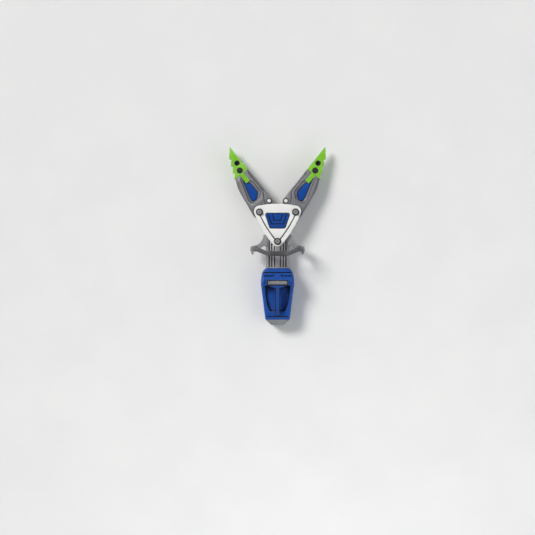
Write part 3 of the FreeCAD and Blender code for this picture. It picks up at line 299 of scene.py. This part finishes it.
def finish(
    name,
    colour,
    rough,
    metal=0.0,
    *,
    mottle=0.12,
    grain=(900.0, 0.00012),
    ripple=None,
    brushed=None,
    wear=0.0,
    wear_colour=BARE,
    wear_metal=1.0,
    grime_and_shade=0.8,
    reach=0.005,
    coat=0.0,
    soft=0.0,
    alone=False,
    glint=0.5,
    extra=None,
):
    """A finish: mottled colour, uneven gloss, surface grain, worn edges, and dirt with painted shade in
    corners.

    grain is (scale, depth) of the fine texture, ripple the same for a coarser one under it, and
    brushed a stretch that draws both out into lines. wear, and the strength of the dirt with painted
    shade, are from 0 to 1. Corners within reach darken by ambient occlusion, as dirt and as painted
    shade, and alone leaves out corners between two pieces. soft rounds the shading of sharp edges over
    that radius. glint is how strongly the bare surface reflects. extra paints over the worn surface,
    under the dirt and painted shade.
    """
    p = Paint(name)
    broad = p.noise(14.0, 4.0, 0.6)
    tone = p.mix(p.ramp(broad, 0.3, 0.7), shade(colour, 1 - mottle), shade(colour, 1 + mottle))
    stretch = brushed or (1, 1, 1)
    fine = p.noise(grain[0], 3.0, 0.6, stretch)
    gloss = p.ramp(p.noise(60.0, 5.0, 0.65, stretch), 0.25, 0.75, rough - 0.09, rough + 0.09)
    scratches = p.ramp(p.noise(130.0, 2.0, 0.5, (0.06, 1.6, 1.0), 0.6), 0.66, 0.72)
    gloss = p.math("ADD", gloss, p.math("MULTIPLY", scratches, 0.10), clamp=True)
    metallic = metal
    if wear:
        worn = p.math("MULTIPLY", p.edges(WEAR_REACH), wear)
        tone = p.mix(worn, tone, wear_colour)
        gloss = p.math("ADD", gloss, p.math("MULTIPLY", worn, WORN_ROUGHNESS - rough), clamp=True)
        if wear_metal != metal:
            metallic = p.ramp(worn, 0.0, 1.0, metal, wear_metal)
    if extra:
        tone, gloss = extra(p, tone, gloss)
    # Dirt and painted shade: corners, grooves and joints darken by ambient occlusion and turn a little
    # rougher.
    if grime_and_shade:
        dirt_and_shade = p.crevice(reach, grime_and_shade, alone)
        tone = p.mix(dirt_and_shade, tone, GRIME_AND_SHADE)
        gloss = p.math("ADD", gloss, p.math("MULTIPLY", dirt_and_shade, 0.3), clamp=True)
    normal = None
    if soft:
        rounding = p.add("ShaderNodeBevel", samples=6)
        rounding.inputs["Radius"].default_value = soft
        normal = rounding.outputs["Normal"]
    if ripple:
        normal = p.bump(p.noise(ripple[0], 3.0, 0.55, stretch), ripple[1], normal)
    normal = p.bump(fine, grain[1], normal)
    p.link(normal, p.shader.inputs["Normal"])
    p.put(p.shader.inputs["Base Color"], tone)
    p.put(p.shader.inputs["Roughness"], gloss)
    p.put(p.shader.inputs["Metallic"], metallic)
    p.shader.inputs["Specular IOR Level"].default_value = glint
    if coat:
        p.shader.inputs["Coat Weight"].default_value = coat
        p.shader.inputs["Coat Roughness"].default_value = 0.12
    return p.material


GREEN, BLUE, GREY = (0.200, 0.520, 0.025), (0.002, 0.058, 0.305), (0.205, 0.205, 0.220)
DARK, BLACK, WHITE = (0.088, 0.087, 0.096), (0.012, 0.012, 0.014), (0.82, 0.82, 0.80)

finishes = {
    "tip_green": finish("tip_paint", GREEN, 0.38, wear=0.85, ripple=(160, 0.00025), coat=0.1, glint=0.35),
    "arm_grey": finish(
        "arm_forging",
        GREY,
        0.50,
        0.20,
        wear=0.75,
        grain=(1400, 0.00016),
        ripple=(220, 0.0004),
        reach=0.008,
        soft=0.0012,
        extra=arm_ink,
    ),
    "insert_blue": finish("insert_blue", BLUE, 0.36, grain=(1600, 0.00008), coat=0.05, grime_and_shade=0.7, glint=0.3),
    "plate_white": finish(
        "plate_paint",
        WHITE,
        0.42,
        wear=0.7,
        wear_colour=(0.30, 0.30, 0.31, 1.0),
        ripple=(260, 0.00018),
        mottle=0.03,
        coat=0.15,
        extra=plate_ink,
    ),
    "badge_blue": finish(
        "badge_enamel",
        BLUE,
        0.32,
        ripple=(300, 0.00010),
        wear=0.25,
        coat=0.1,
        glint=0.3,
        extra=badge_ink,
    ),
    "washer_black": finish("acetal_black", BLACK, 0.42, grain=(1500, 0.00010), mottle=0.3),
    "bolt_grey": finish(
        "zinc_bolt", (0.28, 0.28, 0.295), 0.42, 0.15, wear=0.5, grain=(1200, 0.00008), reach=0.0015, grime_and_shade=0.5
    ),
    "pin_white": finish("pin_coating", (0.80, 0.80, 0.78), 0.33, wear=0.3, coat=0.2),
    "steel": finish("machined_steel", (0.50, 0.50, 0.51), 0.32, 1.0, brushed=(1, 1, 14), grime_and_shade=0.6),
    "chrome_rod": finish("hard_chrome", (0.78, 0.78, 0.80), 0.10, 1.0, grain=(2200, 0.00002), grime_and_shade=0.3),
    "barrel_grey": finish(
        "barrel_anodised", (0.285, 0.285, 0.300), 0.42, 0.30, brushed=(16, 0.6, 16), wear=0.4
    ),
    "bracket_grey": finish("bracket_paint", (0.250, 0.250, 0.265), 0.46, wear=0.75, ripple=(240, 0.0002)),
    "handle_grey": finish("handle_paint", DARK, 0.44, wear=0.6, ripple=(260, 0.0002)),
    "sleeve_grey": finish("sleeve_rubber", (0.070, 0.069, 0.076), 0.68, grain=(1500, 0.0002)),
    "housing_blue": finish(
        "housing_moulding",
        BLUE,
        0.42,
        grain=(1700, 0.00016),
        ripple=(500, 0.00012),
        wear=0.45,
        wear_colour=(0.05, 0.16, 0.50, 1.0),
        wear_metal=0.0,
        glint=0.35,
        # A wide reach that darkens the hand well's floor beside its walls: painted shade as well as dirt.
        grime_and_shade=0.75,
        reach=0.045,
        alone=True,
        extra=housing_ink,
    ),
    "grip_blue": finish(
        "grip_rubber",
        (0.003, 0.052, 0.265),
        0.62,
        grain=(1300, 0.00028),
        wear=0.3,
        wear_colour=(0.03, 0.11, 0.36, 1.0),
        wear_metal=0.0,
        glint=0.3,
        extra=grip_strips,
    ),
    "bezel_black": finish("moulding_black", BLACK, 0.46, grain=(1500, 0.00016), mottle=0.3, grime_and_shade=0.4),
    "rocker_grey": finish("rocker_moulding", (0.20, 0.20, 0.215), 0.48, grain=(1500, 0.00018), grime_and_shade=0.9),
    "cap_grey": finish(
        "cap_moulding",
        (0.215, 0.224, 0.230),
        0.50,
        grain=(1300, 0.00024),
        wear=0.3,
        wear_colour=(0.36, 0.37, 0.38, 1.0),
        wear_metal=0.0,
    ),
    "battery_grey": finish("pack_moulding", (0.055, 0.055, 0.060), 0.48, grain=(1400, 0.0002)),
    "board_green": finish("board_green", (0.02, 0.12, 0.04), 0.4),
    "seal_black": finish("nitrile", BLACK, 0.6),
    "copper": finish("plated_contact", (0.72, 0.45, 0.20), 0.28, 1.0),
    "motor_steel": finish("blackened_steel", (0.16, 0.16, 0.17), 0.42, 0.9),
}


# ---- carried-over CAD nodes -------------------------------------------------------------------------
SOFT_EDGE = 0.6  # width of a rounded edge in millimetres, where SOFT_EDGES has no other
SOFT_EDGES = {
    "arm_left": 0,
    "arm_right": 0,
    "tip_left": 0.9,
    "tip_right": 0.9,
    "housing_upper": 0.9,
    "housing_lower": 0.9,
    "rear_grip": 1.6,
    "battery_end_cap": 1.6,
    "cylinder_barrel": 0.8,
    "crosshead": 1.0,
    "carry_handle": 0.4,
}
UNBEVELLED = ("spring", "cells", "handle_sleeve")
MERGE_GAP = 0.00001
FLAT_ANGLE, CREASE_ANGLE, EDGE_ANGLE = 0.1, 0.8, 32  # degrees between faces
SMOOTH_ANGLE, PLAIN_SMOOTH_ANGLE = 35, 24  # steeper bends look sharp, on rounded and on plain nodes


def crease(mesh):
    """Marks the slight bends between nearly level faces sharp."""
    beside = {}
    for polygon in mesh.polygons:
        for key in polygon.edge_keys:
            beside.setdefault(key, []).append(polygon.normal)
    for edge in mesh.edges:
        normals = beside.get(edge.key, [])
        if len(normals) == 2 and all(abs(n.z) > LEVEL for n in normals):
            edge.use_edge_sharp |= normals[0].angle(normals[1], 0.0) > math.radians(CREASE_ANGLE)


def soften(node, width):
    """Joins the CAD mesh's flat triangles, rounds its edges and shades it smooth between them."""
    merge = node.modifiers.new("merge", "WELD")
    merge.merge_threshold = MERGE_GAP
    if width:
        flats = node.modifiers.new("flats", "DECIMATE")
        flats.decimate_type = "DISSOLVE"
        flats.angle_limit = math.radians(FLAT_ANGLE)
        bevel = node.modifiers.new("edge", "BEVEL")
        bevel.width = width * MM
        bevel.segments = 3
        bevel.limit_method = "ANGLE"
        bevel.angle_limit = math.radians(EDGE_ANGLE)
        bevel.use_clamp_overlap = True
        bevel.harden_normals = True
    for polygon in node.data.polygons:
        polygon.use_smooth = True
    node.data.set_sharp_from_angle(angle=math.radians(SMOOTH_ANGLE if width else PLAIN_SMOOTH_ANGLE))
    if node.name.startswith(("arm_left", "arm_right")):
        crease(node.data)
        weighted = node.modifiers.new("flat faces", "WEIGHTED_NORMAL")
        weighted.keep_sharp = True


slot_of = {s["node"]: s["material_slot"] for s in frame["record"]["subparts"]}
for name, node in nodes.items():
    node.data.materials.clear()
    node.data.materials.append(finishes[slot_of[name]])
    plain = any(word in name for word in UNBEVELLED)
    soften(node, 0 if plain else SOFT_EDGES.get(name, SOFT_EDGE))


# ---- floor, light and camera ------------------------------------------------------------------------
def floor():
    mesh = bpy.data.meshes.new("floor")
    form = bmesh.new()
    bmesh.ops.create_grid(form, x_segments=2, y_segments=2, size=40.0)
    form.to_mesh(mesh)
    form.free()
    ground = bpy.data.objects.new("floor", mesh)
    bpy.context.scene.collection.objects.link(ground)
    p = Paint("floor")
    tone = p.mix(p.ramp(p.noise(3.0), 0.35, 0.65), (0.77, 0.775, 0.77, 1), (0.80, 0.80, 0.795, 1))
    p.put(p.shader.inputs["Base Color"], tone)
    p.shader.inputs["Roughness"].default_value = 0.7
    p.link(p.bump(p.noise(400.0), 0.0001), p.shader.inputs["Normal"])
    mesh.materials.append(p.material)


def lamp(kind, name, place, aim, power, colour=(1, 1, 1)):
    data = bpy.data.lights.new(name, kind)
    data.energy = power
    data.color = colour
    item = bpy.data.objects.new(name, data)
    bpy.context.scene.collection.objects.link(item)
    item.location = place
    item.rotation_euler = (Vector(aim) - Vector(place)).to_track_quat("-Z", "Y").to_euler()
    return data


def sun(name, place, power, spread, colour):
    lamp("SUN", name, place, (0, 0, 0), power, colour).angle = math.radians(spread)


def panel(name, place, size, power, colour):
    data = lamp("AREA", name, place, (0, 0, 0.05), power, colour)
    data.shape = "RECTANGLE"
    data.size, data.size_y = size


def world():
    """A pale sky that is brighter low down than overhead."""
    sky = bpy.data.worlds.new("studio")
    bpy.context.scene.world = sky
    sky.use_nodes = True
    nodes = sky.node_tree.nodes
    split = nodes.new("ShaderNodeSeparateXYZ")
    sky.node_tree.links.new(nodes.new("ShaderNodeTexCoord").outputs["Generated"], split.inputs[0])
    fall = nodes.new("ShaderNodeMapRange")
    fall.interpolation_type = "SMOOTHSTEP"
    sky.node_tree.links.new(split.outputs["Z"], fall.inputs["Value"])
    for socket, value in (("From Min", 0.0), ("From Max", 0.7), ("To Min", 0.85), ("To Max", 0.24)):
        fall.inputs[socket].default_value = value
    back = nodes["Background"]
    back.inputs["Color"].default_value = (0.95, 0.97, 1.0, 1.0)
    sky.node_tree.links.new(fall.outputs["Result"], back.inputs["Strength"])


floor()
world()
sun("key", (-2.0, 1.6, 2.6), 2.45, 22, (1.0, 0.985, 0.96))
sun("fill", (2.4, -0.6, 1.9), 0.60, 50, (0.94, 0.97, 1.0))
panel("rim", (0.3, -2.6, 1.5), (1.6, 0.6), 9, (1, 1, 1))
settings = bpy.context.scene.view_settings
settings.view_transform = "Standard"
settings.look = "None"

FRAME_WIDTH = 2.675  # metres across the frame, at the height of the tool's middle plane
LENS, SENSOR = 135.0, 36.0
AIM_X, AIM_Y = -0.050, -0.1574

camera_data = bpy.data.cameras.new("camera")
camera_data.lens = LENS
camera_data.sensor_width = SENSOR
camera_data.clip_end = 100.0
camera = bpy.data.objects.new("camera", camera_data)
bpy.context.scene.collection.objects.link(camera)
camera.location = (AIM_X, AIM_Y, MIDDLE_Z + FRAME_WIDTH * LENS / SENSOR)
camera.rotation_euler = (0.0, 0.0, 0.0)
bpy.context.scene.camera = camera
